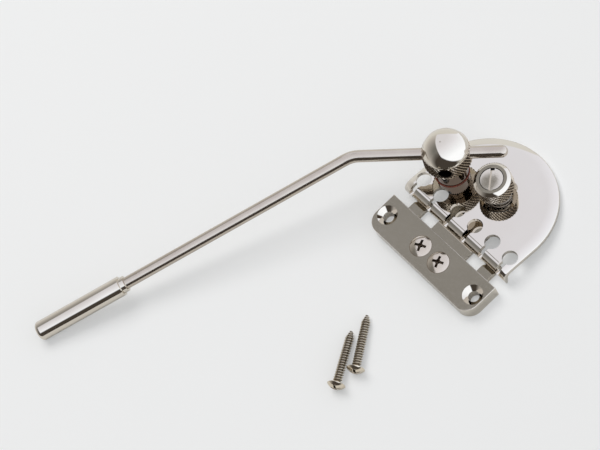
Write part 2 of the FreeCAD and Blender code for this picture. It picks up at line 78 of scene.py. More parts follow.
# Diamond knurl of the head and the wheel
KNURL_PITCH = 1.4
KNURL_HELIX = 33
KNURL_HALF = 0.3
KNURL_RISE = 0.25
KNURL_SINK = 0.1
# Painted shade at the foot of each knurl wedge
KNURL_FOOT_SHADE = 0.4
KNURL_PIECES = 16
HEAD_KNURL_TOP = 17.6
ROD_MARGIN = 0.3
CLAMP_MARGIN = 0.5

# Tension wheel and its spring
STUD_REACH = 23.7
STUD_HEAD = 4.7
STUD_RING = 0.3
STUD_SEAT = 8.7
STUD_TOP = 11.3
STUD_CROWN = 0.08
WHEEL_RADIUS = 7.6
WHEEL_UNDER = 4.2
WHEEL_SHOULDER = 10.15
SPRING_LENGTH = 7
SPRING_RADIUS = 4.9
SPRING_WIRE = 0.6
SPRING_TURNS = 2
SPRING_STEPS = 48
SPRING_SIDES = 16

# Raised-head screws in the middle of the bar
CENTRE_OFFSET = 5.35
CENTRE_HEAD = 4.5
CENTRE_RECESS = 2.6
CENTRE_RIM = 6.98

# Loose wood screws; each lies at the x and y of its head, with a heading
WOOD_LENGTH = 23.6
WOOD_HEAD = 3.75
WOOD_RISE = 1.8
WOOD_SEAT = 1.3
WOOD_CREST = 1.9
WOOD_ROOT = 1.2
WOOD_POINT = 3
WOOD_TIP = 0.8
WOOD_PITCH = 1.08
WOOD_RECESS = 2.2
RECESS_WIDTH = 1.1
RECESS_DEPTH = 2
RECESS_WALL = 0.22
RECESS_BOWL = 1.15
RECESS_SHALLOW = 0.35
THREAD_TIP_ROOT = 0.6
THREAD_HALF = 0.36
# Painted shade between the thread's ridges
THREAD_ROOT_SHADE = 0.9
NEAR_SCREW = (11.7, -62.8, 124.5)
FAR_SCREW = (12.6, -52.95, 128)

# Finishes: colours of the plating and of the painted shade laid on it, and noise by its features in a metre
NICKEL = (0.66, 0.61, 0.53)
NICKEL_SHADE = (0.62, 0.57, 0.49)
SCREW_NICKEL = (0.6, 0.54, 0.46)
SCREW_SHADE = (0.52, 0.45, 0.36)
WOOD_NICKEL = (0.72, 0.645, 0.52)
WOOD_SHADE = (0.64, 0.555, 0.43)
# Painted shade on the drums under the knurls
GROOVE_SHADE = (0.06, 0.044, 0.03)
# Painted shade in the wood screws' crosses and thread roots
THREAD_SHADE = (0.05, 0.035, 0.02)
# Painted shade in the centre screws' cross recesses and in a thin ring round their heads
CROSS_AND_RING_SHADE = (0.15, 0.115, 0.08)
# Painted shade in the arm head's bore and in the gap round the tension screw's head
BORE_AND_GAP_SHADE = (0.02, 0.018, 0.016)
# Knurls: the head's nickel painted darker and browner, as painted shade of the light bouncing inside the
# knurl
KNURL_SHADED_NICKEL = (0.58, 0.5, 0.4)
KNURL_SHADED_CLOUD = (0.52, 0.44, 0.34)
# Arm collar: the nickel painted dark brown, as painted shade standing in for the dark reflections of plate
# and knurl
COLLAR_SHADED_NICKEL = (0.13, 0.095, 0.068)
COLLAR_SHADED_CLOUD = (0.11, 0.08, 0.056)
# Roughness where the painted shade lies
SHADE_ROUGHNESS = 0.4
CLOUD_DETAIL = 3
CLOUD_SPAN = (0.35, 0.7)
GRAIN_SCALE = 900
GRAIN_DETAIL = 5
GRAIN_SPAN = (0.3, 0.7)
LINE_STRETCH = (300, 6000, 3000)
LINE_DETAIL = 2
LINE_STRENGTH = 0.5
LINE_DEPTH = 0.01
FIBRE_MOTTLE = 1500
FIBRE_TONES = ((0.16, 0.035, 0.02, 1), (0.34, 0.085, 0.045, 1))
FIBRE_DULL = (0.5, 0.75)

# Bounds of the rings of painted shade: far outside any piece, and small margins round a surface
FAR_OUT = 100
SKIN = 0.1
HEAD_SKIN = 0.4
SCREW_RING = 0.2

# Studio: tones along an axis of the sky, from far against it to far along it. An edge gives the dot
# products with a direction at which the sky is outside and inside. The table is in millimetres and
# the lamp in metres and watts
CARD_TONES = ((-0.8, (1.02, 1.05, 1.19)), (-0.4, (1.16, 1.21, 1.39)),
              (0, (1.31, 1.41, 1.61)), (0.4, (1.5, 1.62, 1.85)))
CARD_AXIS = (0.774, -0.116, -0.622)
ROOM_TONES = ((-0.95, (0.25, 0.25, 0.245)), (-0.8, (0.38, 0.375, 0.37)), (-0.65, (0.5, 0.49, 0.49)),
              (-0.3, (0.76, 0.75, 0.75)), (0, (0.94, 0.95, 0.95)))
ROOM_AXIS = (0.119, 0.534, -0.837)
CORNER_TONE = (0.08, 0.07, 0.062)
CORNER_WAY = (0.75, -0.653, 0.1)
CORNER_EDGE = (0.4, 0.74)
PATCH_TONE = (0.355, 0.353, 0.352)
PATCH_WAY = (-0.457, 0.118, 0.882)
PATCH_EDGE = (0.9986, 0.9993)
CARD_EDGES = (((0.489, 0.872, 0.5), -0.09, -0.05), ((0.15, 0.65, 0.745), 0.06, 0.14),
              ((0.778, -0.617, 0.123), -0.89, -0.875))
BACKDROP_TONE = (0.84, 0.85, 0.85)
TABLE_HALF = 3000
TABLE_CLEAR = 0.03
TABLE_MIRRORED = 60
TABLE_GLOW = 0.35
TABLE_ROUGHNESS = 0.9
TABLE_SHEEN = 0.1
TABLE_CLOUD = 3
PAPER_TONES = ((0.85, 0.855, 0.855, 1), (0.87, 0.875, 0.875, 1))
DIFFUSE_BALANCE = (0.55, 0.525, 0.462)
LAMP_WAY = (-0.5, 0.06, 0.86)
LAMP_DISTANCE = 2
LAMP_SIZE = 1.3
LAMP_POWER = 21
LAMP_COLOUR = (1, 0.99, 0.98)

# Camera: its place in metres and the ways of its right, top and back
CAMERA_SENSOR = 36
CAMERA_LENS = 150.63
CAMERA_PLACE = (0.455423, -0.102413, 0.890135)
CAMERA_RIGHT = (0.6257, 0.72127, -0.2971)
CAMERA_UP = (-0.60239, 0.68875, 0.40342)
CAMERA_BACK = (0.4956, -0.07345, 0.86544)


# Shapes
def on_plate(across, along, above):
    """Places in metres of points given in the plate's frame, which leans back by the rest angle."""
    lean = math.radians(REST_ANGLE)
    y = HINGE_Y + along * math.cos(lean) + above * math.sin(lean)
    z = HINGE_Z - along * math.sin(lean) + above * math.cos(lean)
    return np.stack(np.broadcast_arrays(across, y, z), axis=-1) * MILLIMETRE


def on_stud(x, y, z):
    """Places in metres of points given about the wheel's upright axis, above the plate's top there."""
    return on_plate(0, STUD_REACH, PLATE_TOP) + np.stack(np.broadcast_arrays(x, y, z), axis=-1) * MILLIMETRE


def grid_faces(rows, columns):
    """Quads of a grid whose columns close on themselves: each joins two rows and two neighbouring columns."""
    row, column = np.meshgrid(np.arange(rows - 1), np.arange(columns), indexing="ij")
    beside = (column + 1) % columns
    corners = (row * columns + column, row * columns + beside,
               (row + 1) * columns + beside, (row + 1) * columns + column)
    return np.stack(corners, axis=-1).reshape(-1, 4)


def new_piece(name, places, faces, painted_shade, material, smooth):
    """A mesh object from arrays of places, faces and painted shade by vertex, and its own finish."""
    mesh = bpy.data.meshes.new(name)
    mesh.from_pydata(places.reshape(-1, 3).tolist(), [], faces)
    mesh.polygons.foreach_set("use_smooth", np.full(len(mesh.polygons), smooth))
    stored = mesh.attributes.new("painted_shade", "FLOAT", "POINT")
    stored.data.foreach_set("value", np.ravel(painted_shade).astype(np.float32))
    mesh.materials.append(material)
    mesh.update()
    piece = bpy.data.objects.new(name, mesh)
    bpy.context.scene.collection.objects.link(piece)
    return piece


def knurl(radius, low, high, middle, bores):
    """Diamond knurl of a drum as two crossing sets of raised ridges, each cut into short closed wedges.
    A ridge turns evenly with height, to the left in one set and to the right in the other, and its wedges
    have a sharp crest. Above the middle height the radius follows a ball: the root of its square less the
    square of the height over the middle.
    Wedges whose middle lies within a bore, given as angle, height and radius, are left out.
    Painted shade lies at the foot of a wedge and fades to none at its crest."""
    around = round(2 * math.pi * radius / KNURL_PITCH)
    hand, ridge, piece = np.meshgrid([-1, 1], np.arange(around), np.arange(KNURL_PIECES), indexing="ij")
    heights = low + (high - low) * np.stack([piece, piece + 1], axis=-1) / KNURL_PIECES
    slant = math.tan(math.radians(KNURL_HELIX)) / radius
    angles = (2 * math.pi * ridge / around)[..., None] + hand[..., None] * slant * (heights - low)
    angle = angles.mean(axis=-1)
    height = heights.mean(axis=-1)
    keep = np.ones(angle.shape, dtype=bool)
    for bore_angle, bore_height, bore_radius in bores:
        turned = np.angle(np.exp(1j * (angle - math.radians(bore_angle))))
        keep &= np.hypot(turned * radius, height - bore_height) > bore_radius
    angles = angles[keep][:, :, None]
    heights = heights[keep][:, :, None]
    skin = np.sqrt(radius ** 2 - np.clip(heights - middle, 0, None) ** 2)
    sides = np.array([-1, 1, 0]) * KNURL_HALF / radius
    radii = skin + np.array([-KNURL_SINK, -KNURL_SINK, KNURL_RISE])
    angles = angles + sides
    heights = heights + 0 * sides
    painted_shade = np.tile([KNURL_FOOT_SHADE, KNURL_FOOT_SHADE, 0], 2 * len(angles))
    start = np.arange(len(angles))[:, None, None] * 6
    walls = (start + np.array([[1, 4, 5, 2], [3, 0, 2, 5], [0, 3, 4, 1]])).reshape(-1, 4)
    ends = (start + np.array([[0, 1, 2], [3, 5, 4]])).reshape(-1, 3)
    return radii * np.cos(angles), radii * np.sin(angles), heights, walls.tolist() + ends.tolist(), painted_shade


def coil_spring():
    """Round wire carried along a helix: its centre rises evenly with the angle, and each ring lies square
    to its path. It starts at the front, high enough for the wire to touch the leaning plate there."""
    steps = SPRING_STEPS * SPRING_TURNS
    sides = SPRING_SIDES
    turn = np.linspace(0, 2 * math.pi * SPRING_TURNS, steps + 1)[:, None]
    lean = math.radians(REST_ANGLE)
    start = (SPRING_WIRE + SPRING_RADIUS * math.sin(lean)) / math.cos(lean)
    slope = (SPRING_LENGTH - SPRING_WIRE - start) / (2 * math.pi * SPRING_TURNS)
    lead = math.hypot(SPRING_RADIUS, slope)
    ring = np.linspace(0, 2 * math.pi, sides, endpoint=False)[None, :]
    outward = SPRING_WIRE * np.cos(ring)
    upward = SPRING_WIRE * np.sin(ring) * SPRING_RADIUS / lead
    backward = SPRING_WIRE * np.sin(ring) * slope / lead
    x = (SPRING_RADIUS + outward) * np.sin(turn) - backward * np.cos(turn)
    y = -(SPRING_RADIUS + outward) * np.cos(turn) - backward * np.sin(turn)
    z = start + slope * turn + upward
    faces = grid_faces(steps + 1, sides)[:, ::-1].tolist()
    faces.append(list(range(sides)))
    faces.append(list(range(steps * sides, (steps + 1) * sides))[::-1])
    return on_stud(x, y, z), faces, np.zeros(x.shape)


def wood_screw(spot_x, spot_y, heading):
    """A wood screw turned from one profile: crown, seat, thread and point in rows, with the angle round the
    axis in columns.
    The crown is a slice of a sphere that sinks where the angle and radius fall inside a cross.
    The thread is a ridge whose height depends on length over pitch less angle over a turn.
    Painted shade lies in the cross and between the ridges."""
    columns = 96
    crown_rows = 44
    seat_rows = 8
    thread_rows = 230
    angle = np.linspace(0, 2 * math.pi, columns, endpoint=False)[None, :]

    sphere = (WOOD_HEAD ** 2 + WOOD_RISE ** 2) / (2 * WOOD_RISE)
    crown_radius = np.linspace(WOOD_HEAD / crown_rows, WOOD_HEAD, crown_rows)[:, None]
    crown_height = sphere - np.sqrt(sphere ** 2 - crown_radius ** 2) - WOOD_RISE
    x = np.abs(crown_radius * np.cos(angle))
    y = np.abs(crown_radius * np.sin(angle))
    blade = RECESS_WIDTH / 2
    inside = np.maximum(np.minimum(blade - y, WOOD_RECESS - x), np.minimum(blade - x, WOOD_RECESS - y))
    wall = np.clip(inside / RECESS_WALL, 0, 1)
    bowl = np.clip(RECESS_BOWL - crown_radius / WOOD_RECESS, RECESS_SHALLOW, 1)
    crown_height = crown_height + RECESS_DEPTH * bowl * wall
    crown_radius = crown_radius + 0 * angle

    seat = np.linspace(0, WOOD_SEAT, seat_rows + 1)[1:, None]
    seat_height = seat + 0 * angle
    seat_radius = WOOD_HEAD - (WOOD_HEAD - WOOD_CREST) * seat / WOOD_SEAT + 0 * angle

    length = np.linspace(WOOD_SEAT, WOOD_LENGTH, thread_rows + 1)[1:, None]
    taper = np.clip((WOOD_LENGTH - length) / WOOD_POINT, 0, 1)
    tip_root = WOOD_TIP * THREAD_TIP_ROOT
    root = tip_root + (WOOD_ROOT - tip_root) * taper
    crest = WOOD_TIP + (WOOD_CREST - WOOD_TIP) * taper
    phase = (length / WOOD_PITCH - angle / (2 * math.pi)) % 1
    ridge = np.clip(1 - np.abs(phase - 0.5) / THREAD_HALF, 0, 1)
    thread_radius = root + (crest - root) * ridge
    thread_height = length + 0 * angle

    painted_shade = np.concatenate([wall, 0 * seat_radius, THREAD_ROOT_SHADE * (1 - ridge) * (taper > 0)])
    painted_shade = np.append(painted_shade.ravel(), [1, 0])
    radius = np.concatenate([crown_radius, seat_radius, thread_radius])
    height = np.concatenate([crown_height, seat_height, thread_height])
    rows = len(radius)
    local = np.stack([radius * np.cos(angle), radius * np.sin(angle), height], axis=-1).reshape(-1, 3)
    ends = np.array([[0, 0, crown_height[0].mean()], [0, 0, WOOD_LENGTH]])
    local = np.concatenate([local, ends])
    lean = math.atan((WOOD_HEAD - WOOD_CREST) / (WOOD_LENGTH - WOOD_POINT))
    turn = Matrix.Rotation(math.radians(heading), 3, "Z") @ Matrix.Rotation(math.pi / 2 + lean, 3, "Y")
    places = local @ np.array(turn).T + np.array([spot_x, spot_y, WOOD_HEAD * math.cos(lean)])
    faces = grid_faces(rows, columns)[:, ::-1].tolist()
    column = np.arange(columns)
    beside = (column + 1) % columns
    last = (rows - 1) * columns
    head_fan = np.stack([beside, column, np.full(columns, rows * columns)], axis=-1)
    tip_fan = np.stack([last + column, last + beside, np.full(columns, rows * columns + 1)], axis=-1)
    return places * MILLIMETRE, faces + head_fan[:, ::-1].tolist() + tip_fan.tolist(), painted_shade


# Finishes
def combine(nodes, links, values, operation):
    """Several values brought to one by the same operation, two at a time."""
    whole = values[0]
    for value in values[1:]:
        step = nodes.new("ShaderNodeMath")
        step.operation = operation
        links.new(whole, step.inputs[0])
        links.new(value, step.inputs[1])
        whole = step.outputs["Value"]
    return whole


def new_group(name, inputs, outputs):
    """A shader node group with no nodes yet, whose sockets are given by name and kind."""
    group = bpy.data.node_groups.new(name, "ShaderNodeTree")
    for way, sockets in (("INPUT", inputs), ("OUTPUT", outputs)):
        for socket, kind in sockets.items():
            group.interface.new_socket(socket, in_out=way, socket_type="NodeSocket" + kind)
    return group


def plating_group():
    """Shared look of plated metal: cloudy tone between two colours, uneven haze and fine polishing lines."""
    group = new_group("plating", {"Colour": "Color", "Shade": "Color", "Cloud": "Float",
                                  "Haze low": "Float", "Haze high": "Float", "Line": "Float"},
                      {"Colour": "Color", "Roughness": "Float", "Height": "Float"})
    nodes = group.nodes
    links = group.links
    given = nodes.new("NodeGroupInput")
    made = nodes.new("NodeGroupOutput")
    where = nodes.new("ShaderNodeTexCoord")
    cloud = nodes.new("ShaderNodeTexNoise")
    cloud.inputs["Detail"].default_value = CLOUD_DETAIL
    links.new(where.outputs["Object"], cloud.inputs["Vector"])
    links.new(given.outputs["Cloud"], cloud.inputs["Scale"])
    contrast = nodes.new("ShaderNodeMapRange")
    contrast.inputs["From Min"].default_value = CLOUD_SPAN[0]
    contrast.inputs["From Max"].default_value = CLOUD_SPAN[1]
    links.new(cloud.outputs["Fac"], contrast.inputs["Value"])
    tone = nodes.new("ShaderNodeMix")
    tone.data_type = "RGBA"
    links.new(contrast.outputs["Result"], tone.inputs["Factor"])
    links.new(given.outputs["Colour"], tone.inputs["A"])
    links.new(given.outputs["Shade"], tone.inputs["B"])
    links.new(tone.outputs["Result"], made.inputs["Colour"])
    grain = nodes.new("ShaderNodeTexNoise")
    grain.inputs["Scale"].default_value = GRAIN_SCALE
    grain.inputs["Detail"].default_value = GRAIN_DETAIL
    links.new(where.outputs["Object"], grain.inputs["Vector"])
    haze = nodes.new("ShaderNodeMapRange")
    haze.inputs["From Min"].default_value = GRAIN_SPAN[0]
    haze.inputs["From Max"].default_value = GRAIN_SPAN[1]
    links.new(grain.outputs["Fac"], haze.inputs["Value"])
    links.new(given.outputs["Haze low"], haze.inputs["To Min"])
    links.new(given.outputs["Haze high"], haze.inputs["To Max"])
    links.new(haze.outputs["Result"], made.inputs["Roughness"])
    stretch = nodes.new("ShaderNodeMapping")
    stretch.inputs["Scale"].default_value = LINE_STRETCH
    links.new(where.outputs["Object"], stretch.inputs["Vector"])
    line = nodes.new("ShaderNodeTexNoise")
    line.inputs["Scale"].default_value = 1
    line.inputs["Detail"].default_value = LINE_DETAIL
    links.new(stretch.outputs["Vector"], line.inputs["Vector"])
    relief = nodes.new("ShaderNodeMath")
    relief.operation = "MULTIPLY"
    links.new(line.outputs["Fac"], relief.inputs[0])
    links.new(given.outputs["Line"], relief.inputs[1])
    links.new(relief.outputs["Value"], made.inputs["Height"])
    return group


def zone_group():
    """Shared mask of a ring about an axis: 1 between two radii and two heights above its foot, else 0."""
    group = new_group("zone", {"Foot": "Vector", "Axis": "Vector", "Inner": "Float",
                               "Outer": "Float", "Low": "Float", "High": "Float"}, {"Share": "Float"})
    nodes = group.nodes
    links = group.links
    given = nodes.new("NodeGroupInput")
    made = nodes.new("NodeGroupOutput")
    where = nodes.new("ShaderNodeTexCoord")
    millimetres = nodes.new("ShaderNodeVectorMath")
    millimetres.operation = "SCALE"
    millimetres.inputs["Scale"].default_value = 1 / MILLIMETRE
    links.new(where.outputs["Object"], millimetres.inputs[0])
    away = nodes.new("ShaderNodeVectorMath")
    away.operation = "SUBTRACT"
    links.new(millimetres.outputs["Vector"], away.inputs[0])
    links.new(given.outputs["Foot"], away.inputs[1])
    height = nodes.new("ShaderNodeVectorMath")
    height.operation = "DOT_PRODUCT"
    links.new(away.outputs["Vector"], height.inputs[0])
    links.new(given.outputs["Axis"], height.inputs[1])
    across = nodes.new("ShaderNodeVectorMath")
    across.operation = "CROSS_PRODUCT"
    links.new(away.outputs["Vector"], across.inputs[0])
    links.new(given.outputs["Axis"], across.inputs[1])
    radius = nodes.new("ShaderNodeVectorMath")
    radius.operation = "LENGTH"
    links.new(across.outputs["Vector"], radius.inputs[0])
    tests = []
    for value, bound, operation in ((radius.outputs["Value"], "Inner", "GREATER_THAN"),
                                    (radius.outputs["Value"], "Outer", "LESS_THAN"),
                                    (height.outputs["Value"], "Low", "GREATER_THAN"),
                                    (height.outputs["Value"], "High", "LESS_THAN")):
        test = nodes.new("ShaderNodeMath")
        test.operation = operation
        links.new(value, test.inputs[0])
        links.new(given.outputs[bound], test.inputs[1])
        tests.append(test.outputs["Value"])
    links.new(combine(nodes, links, tests, "MULTIPLY"), made.inputs["Share"])
    return group


def plated(name, colour, shade, cloud, haze, line):
    """A metal finish: the plating group drives colour, roughness and a very shallow bump."""
    material = bpy.data.materials.new(name)
    material.use_nodes = True
    nodes = material.node_tree.nodes
    links = material.node_tree.links
    surface = nodes["Principled BSDF"]
    surface.inputs["Metallic"].default_value = 1
    look = nodes.new("ShaderNodeGroup")
    look.node_tree = plating
    look.inputs["Colour"].default_value = (*colour, 1)
    look.inputs["Shade"].default_value = (*shade, 1)
    look.inputs["Cloud"].default_value = cloud
    look.inputs["Haze low"].default_value = haze[0]
    look.inputs["Haze high"].default_value = haze[1]
    look.inputs["Line"].default_value = line
    bump = nodes.new("ShaderNodeBump")
    bump.inputs["Strength"].default_value = LINE_STRENGTH
    bump.inputs["Distance"].default_value = LINE_DEPTH * MILLIMETRE
    links.new(look.outputs["Colour"], surface.inputs["Base Color"])
    links.new(look.outputs["Roughness"], surface.inputs["Roughness"])
    links.new(look.outputs["Height"], bump.inputs["Height"])
    links.new(bump.outputs["Normal"], surface.inputs["Normal"])
    return material


def painted_shade_group():
    """Shared painted shade: where the share is 1 the colour falls to a dark one and the face grows dull."""
    group = new_group("painted_shade", {"Share": "Float", "Colour": "Color", "Roughness": "Float",
                                "Dark": "Color", "Dull": "Float"},
                      {"Colour": "Color", "Roughness": "Float"})
    nodes = group.nodes
    links = group.links
    given = nodes.new("NodeGroupInput")
    made = nodes.new("NodeGroupOutput")
    for name, kind, grimy in (("Colour", "RGBA", "Dark"), ("Roughness", "FLOAT", "Dull")):
        mix = nodes.new("ShaderNodeMix")
        mix.data_type = kind
        factor, clean, dirty = [socket for socket in mix.inputs if socket.enabled]
        links.new(given.outputs["Share"], factor)
        links.new(given.outputs[name], clean)
        links.new(given.outputs[grimy], dirty)
        links.new([socket for socket in mix.outputs if socket.enabled][0], made.inputs[name])
    return group


def darken(material, share, dark):
    """Lay the shared painted shade over a finish where a share says so."""
    nodes = material.node_tree.nodes
    links = material.node_tree.links
    surface = nodes["Principled BSDF"]
    layer = nodes.new("ShaderNodeGroup")
    layer.node_tree = painted_shade_layer
    layer.inputs["Dark"].default_value = (*dark, 1)
    layer.inputs["Dull"].default_value = SHADE_ROUGHNESS
    links.new(share, layer.inputs["Share"])
    for name, target in (("Colour", "Base Color"), ("Roughness", "Roughness")):
        links.new(surface.inputs[target].links[0].from_socket, layer.inputs[name])
        links.new(layer.outputs[name], surface.inputs[target])


def zones(material, rings):
    """The greatest share of several rings, each given as foot, axis, inner and outer radius, low and high."""
    nodes = material.node_tree.nodes
    links = material.node_tree.links
    shares = []
    for ring in rings:
        mask = nodes.new("ShaderNodeGroup")
        mask.node_tree = zone
        for name, value in zip(("Foot", "Axis", "Inner", "Outer", "Low", "High"), ring):
            mask.inputs[name].default_value = value
        shares.append(mask.outputs["Share"])
    return combine(nodes, links, shares, "MAXIMUM")


def sink(material, fall, drop):
    """Bend a finish's surface in the shading, down by the drop where the fall is 1, under its fine lines."""
    nodes = material.node_tree.nodes
    links = material.node_tree.links
    bump = nodes.new("ShaderNodeBump")
    bump.invert = True
    bump.inputs["Strength"].default_value = 1
    bump.inputs["Distance"].default_value = drop * MILLIMETRE
    links.new(fall, bump.inputs["Height"])
    fine = nodes["Principled BSDF"].inputs["Normal"].links[0].from_node
    links.new(bump.outputs["Normal"], fine.inputs["Normal"])


def roll_rim(material):
    """Roll the string plate's rim down in the shading: the fall is the square of the share of the rim band
    that is passed. The distance counts from the middle of the round rear end, and only sideways in front
    of it."""
    nodes = material.node_tree.nodes
    links = material.node_tree.links
    where = nodes.new("ShaderNodeTexCoord")
    lean = math.radians(REST_ANGLE)
    middle = Vector(on_plate(0, PLATE_REACH - PLATE_HALF, PLATE_TOP))
    away = nodes.new("ShaderNodeVectorMath")
    away.operation = "SUBTRACT"
    away.inputs[1].default_value = middle
    links.new(where.outputs["Object"], away.inputs[0])
    along = nodes.new("ShaderNodeVectorMath")
    along.operation = "DOT_PRODUCT"
    along.inputs[1].default_value = (0, math.cos(lean), -math.sin(lean))
    links.new(away.outputs["Vector"], along.inputs[0])
    rear = nodes.new("ShaderNodeMath")
    rear.operation = "MAXIMUM"
    rear.inputs[1].default_value = 0
    links.new(along.outputs["Value"], rear.inputs[0])
    across = nodes.new("ShaderNodeSeparateXYZ")
    links.new(away.outputs["Vector"], across.inputs["Vector"])
    spot = nodes.new("ShaderNodeCombineXYZ")
    links.new(across.outputs["X"], spot.inputs["X"])
    links.new(rear.outputs["Value"], spot.inputs["Y"])
    reach = nodes.new("ShaderNodeVectorMath")
    reach.operation = "LENGTH"
    links.new(spot.outputs["Vector"], reach.inputs[0])
    band = nodes.new("ShaderNodeMapRange")
    band.inputs["From Min"].default_value = (PLATE_HALF - RIM_BAND) * MILLIMETRE
    band.inputs["From Max"].default_value = PLATE_HALF * MILLIMETRE
    links.new(reach.outputs["Value"], band.inputs["Value"])
    fall = nodes.new("ShaderNodeMath")
    fall.operation = "POWER"
    fall.inputs[1].default_value = 2
    links.new(band.outputs["Result"], fall.inputs[0])
    sink(material, fall.outputs["Value"], RIM_DROP)


def crown(material, foot, radius, drop):
    """Crown a round screw head in the shading: the fall is the square of the distance from its upright axis
    over its radius."""
    nodes = material.node_tree.nodes
    links = material.node_tree.links
    where = nodes.new("ShaderNodeTexCoord")
    away = nodes.new("ShaderNodeVectorMath")
    away.operation = "SUBTRACT"
    away.inputs[1].default_value = foot
    links.new(where.outputs["Object"], away.inputs[0])
    flat = nodes.new("ShaderNodeVectorMath")
    flat.operation = "MULTIPLY"
    flat.inputs[1].default_value = (1, 1, 0)
    links.new(away.outputs["Vector"], flat.inputs[0])
    square = nodes.new("ShaderNodeVectorMath")
    square.operation = "DOT_PRODUCT"
    links.new(flat.outputs["Vector"], square.inputs[0])
    links.new(flat.outputs["Vector"], square.inputs[1])
    fall = nodes.new("ShaderNodeMath")
    fall.operation = "DIVIDE"
    fall.inputs[1].default_value = (radius * MILLIMETRE) ** 2
    links.new(square.outputs["Value"], fall.inputs[0])
    sink(material, fall.outputs["Value"], drop)


def painted_shade_share(material):
    """The painted shade stored on the vertices."""
    stored = material.node_tree.nodes.new("ShaderNodeAttribute")
    stored.attribute_name = "painted_shade"
    return stored.outputs["Fac"]


def fibre_finish():
    """Dark red fibre: mottled colour and a dull, slightly uneven face."""
    material = bpy.data.materials.new("red_fibre_finish")
    material.use_nodes = True
    nodes = material.node_tree.nodes
    links = material.node_tree.links
    surface = nodes["Principled BSDF"]
    where = nodes.new("ShaderNodeTexCoord")
    mottle = nodes.new("ShaderNodeTexNoise")
    mottle.inputs["Scale"].default_value = FIBRE_MOTTLE
    links.new(where.outputs["Object"], mottle.inputs["Vector"])
    colour = nodes.new("ShaderNodeValToRGB")
    for stop, tone in zip(colour.color_ramp.elements, FIBRE_TONES):
        stop.color = tone
    links.new(mottle.outputs["Fac"], colour.inputs["Fac"])
    links.new(colour.outputs["Color"], surface.inputs["Base Color"])
    dull = nodes.new("ShaderNodeMapRange")
    dull.inputs["To Min"].default_value = FIBRE_DULL[0]
    dull.inputs["To Max"].default_value = FIBRE_DULL[1]
    links.new(mottle.outputs["Fac"], dull.inputs["Value"])
    links.new(dull.outputs["Result"], surface.inputs["Roughness"])
    return material


plating = plating_group()
zone = zone_group()
painted_shade_layer = painted_shade_group()


def nickel(name, haze=(0.03, 0.07), line=0.3):
    """The polished nickel that most pieces share, with its own haze and lines."""
    return plated(name, NICKEL, NICKEL_SHADE, cloud=60, haze=haze, line=line)


FINISHES = {
    "polished_nickel": nickel("polished_nickel_finish"),
    "mirror_nickel": plated("mirror_nickel_finish", (0.68, 0.64, 0.57), (0.66, 0.61, 0.54),
                            cloud=40, haze=(0.02, 0.05), line=0.15),
    "plated_steel": plated("plated_steel_finish", (0.6, 0.58, 0.54), (0.52, 0.49, 0.45),
                           cloud=150, haze=(0.12, 0.25), line=1),
    "satin_steel": plated("satin_steel_finish", (0.53, 0.475, 0.4), (0.49, 0.43, 0.365),
                          cloud=120, haze=(0.1, 0.16), line=0.08),
    "spring_steel": plated("spring_steel_finish", (0.35, 0.33, 0.31), (0.28, 0.25, 0.23),
                           cloud=200, haze=(0.2, 0.32), line=1),
    "dark_steel": plated("dark_steel_finish", (0.10, 0.10, 0.10), (0.06, 0.06, 0.06),
                         cloud=200, haze=(0.3, 0.45), line=1),
    "plated_screw": plated("plated_screw_finish", SCREW_NICKEL, SCREW_SHADE,
                           cloud=180, haze=(0.10, 0.2), line=0.6),
    "red_fibre": fibre_finish(),
}

roll_rim(FINISHES["mirror_nickel"])

# Finishes of single pieces: painted shade on the drums under the knurls, in the bores, round the screw seats
# and in the cross recesses
post_up = (0, math.sin(math.radians(REST_ANGLE)), math.cos(math.radians(REST_ANGLE)))
upright = (0, 0, 1)
post_foot = on_plate(POST_X, POST_REACH, PLATE_TOP) / MILLIMETRE
stud_foot = on_plate(0, STUD_REACH, PLATE_TOP) / MILLIMETRE
centre_feet = [(side * CENTRE_OFFSET, 0, 0) for side in (-1, 1)]

# Painted shade on the drum under the head's knurl, and nearly black painted shade in its bores
head_finish = nickel("arm_head_finish")
head_drum = (post_foot, post_up, HEAD_RADIUS - HEAD_SKIN, FAR_OUT, HEAD_UNDER + SKIN, HEAD_KNURL_TOP)
head_bore = (post_foot, post_up, 0, HEAD_RADIUS - HEAD_SKIN,
             ARM_HEIGHT - CLAMP_RADIUS - SKIN, ARM_HEIGHT + CLAMP_RADIUS + SKIN)
darken(head_finish, zones(head_finish, [head_drum]), GROOVE_SHADE)
darken(head_finish, zones(head_finish, [head_bore]), BORE_AND_GAP_SHADE)

# Painted shade on the drum under the wheel's knurl
wheel_finish = nickel("tension_wheel_finish")
wheel_drum = (stud_foot, upright, WHEEL_RADIUS - SKIN, FAR_OUT, WHEEL_UNDER + SKIN, WHEEL_SHOULDER - SKIN)
darken(wheel_finish, zones(wheel_finish, [wheel_drum]), GROOVE_SHADE)

# Painted shade in the centre screws' cross recesses
centre_finish = plated("centre_screw_finish", SCREW_NICKEL, SCREW_SHADE, cloud=60, haze=(0.1, 0.2), line=0.4)
crosses = [(foot, upright, 0, CENTRE_RECESS, 0, CENTRE_RIM) for foot in centre_feet]
darken(centre_finish, zones(centre_finish, crosses), CROSS_AND_RING_SHADE)

# Painted shade as a thin dark ring round the centre screws' heads
bar_finish = nickel("mounting_bar_finish")
rings = [(foot, upright, CENTRE_HEAD, CENTRE_HEAD + SCREW_RING, 0, FAR_OUT) for foot in centre_feet]
darken(bar_finish, zones(bar_finish, rings), CROSS_AND_RING_SHADE)

# Knurls: nickel painted darker and browner, with painted shade at the wedges' feet
knurl_painted_shade = plated("knurl_painted_shade", KNURL_SHADED_NICKEL, KNURL_SHADED_CLOUD, cloud=60, haze=(0.06, 0.12), line=0.3)
darken(knurl_painted_shade, painted_shade_share(knurl_painted_shade), GROOVE_SHADE)

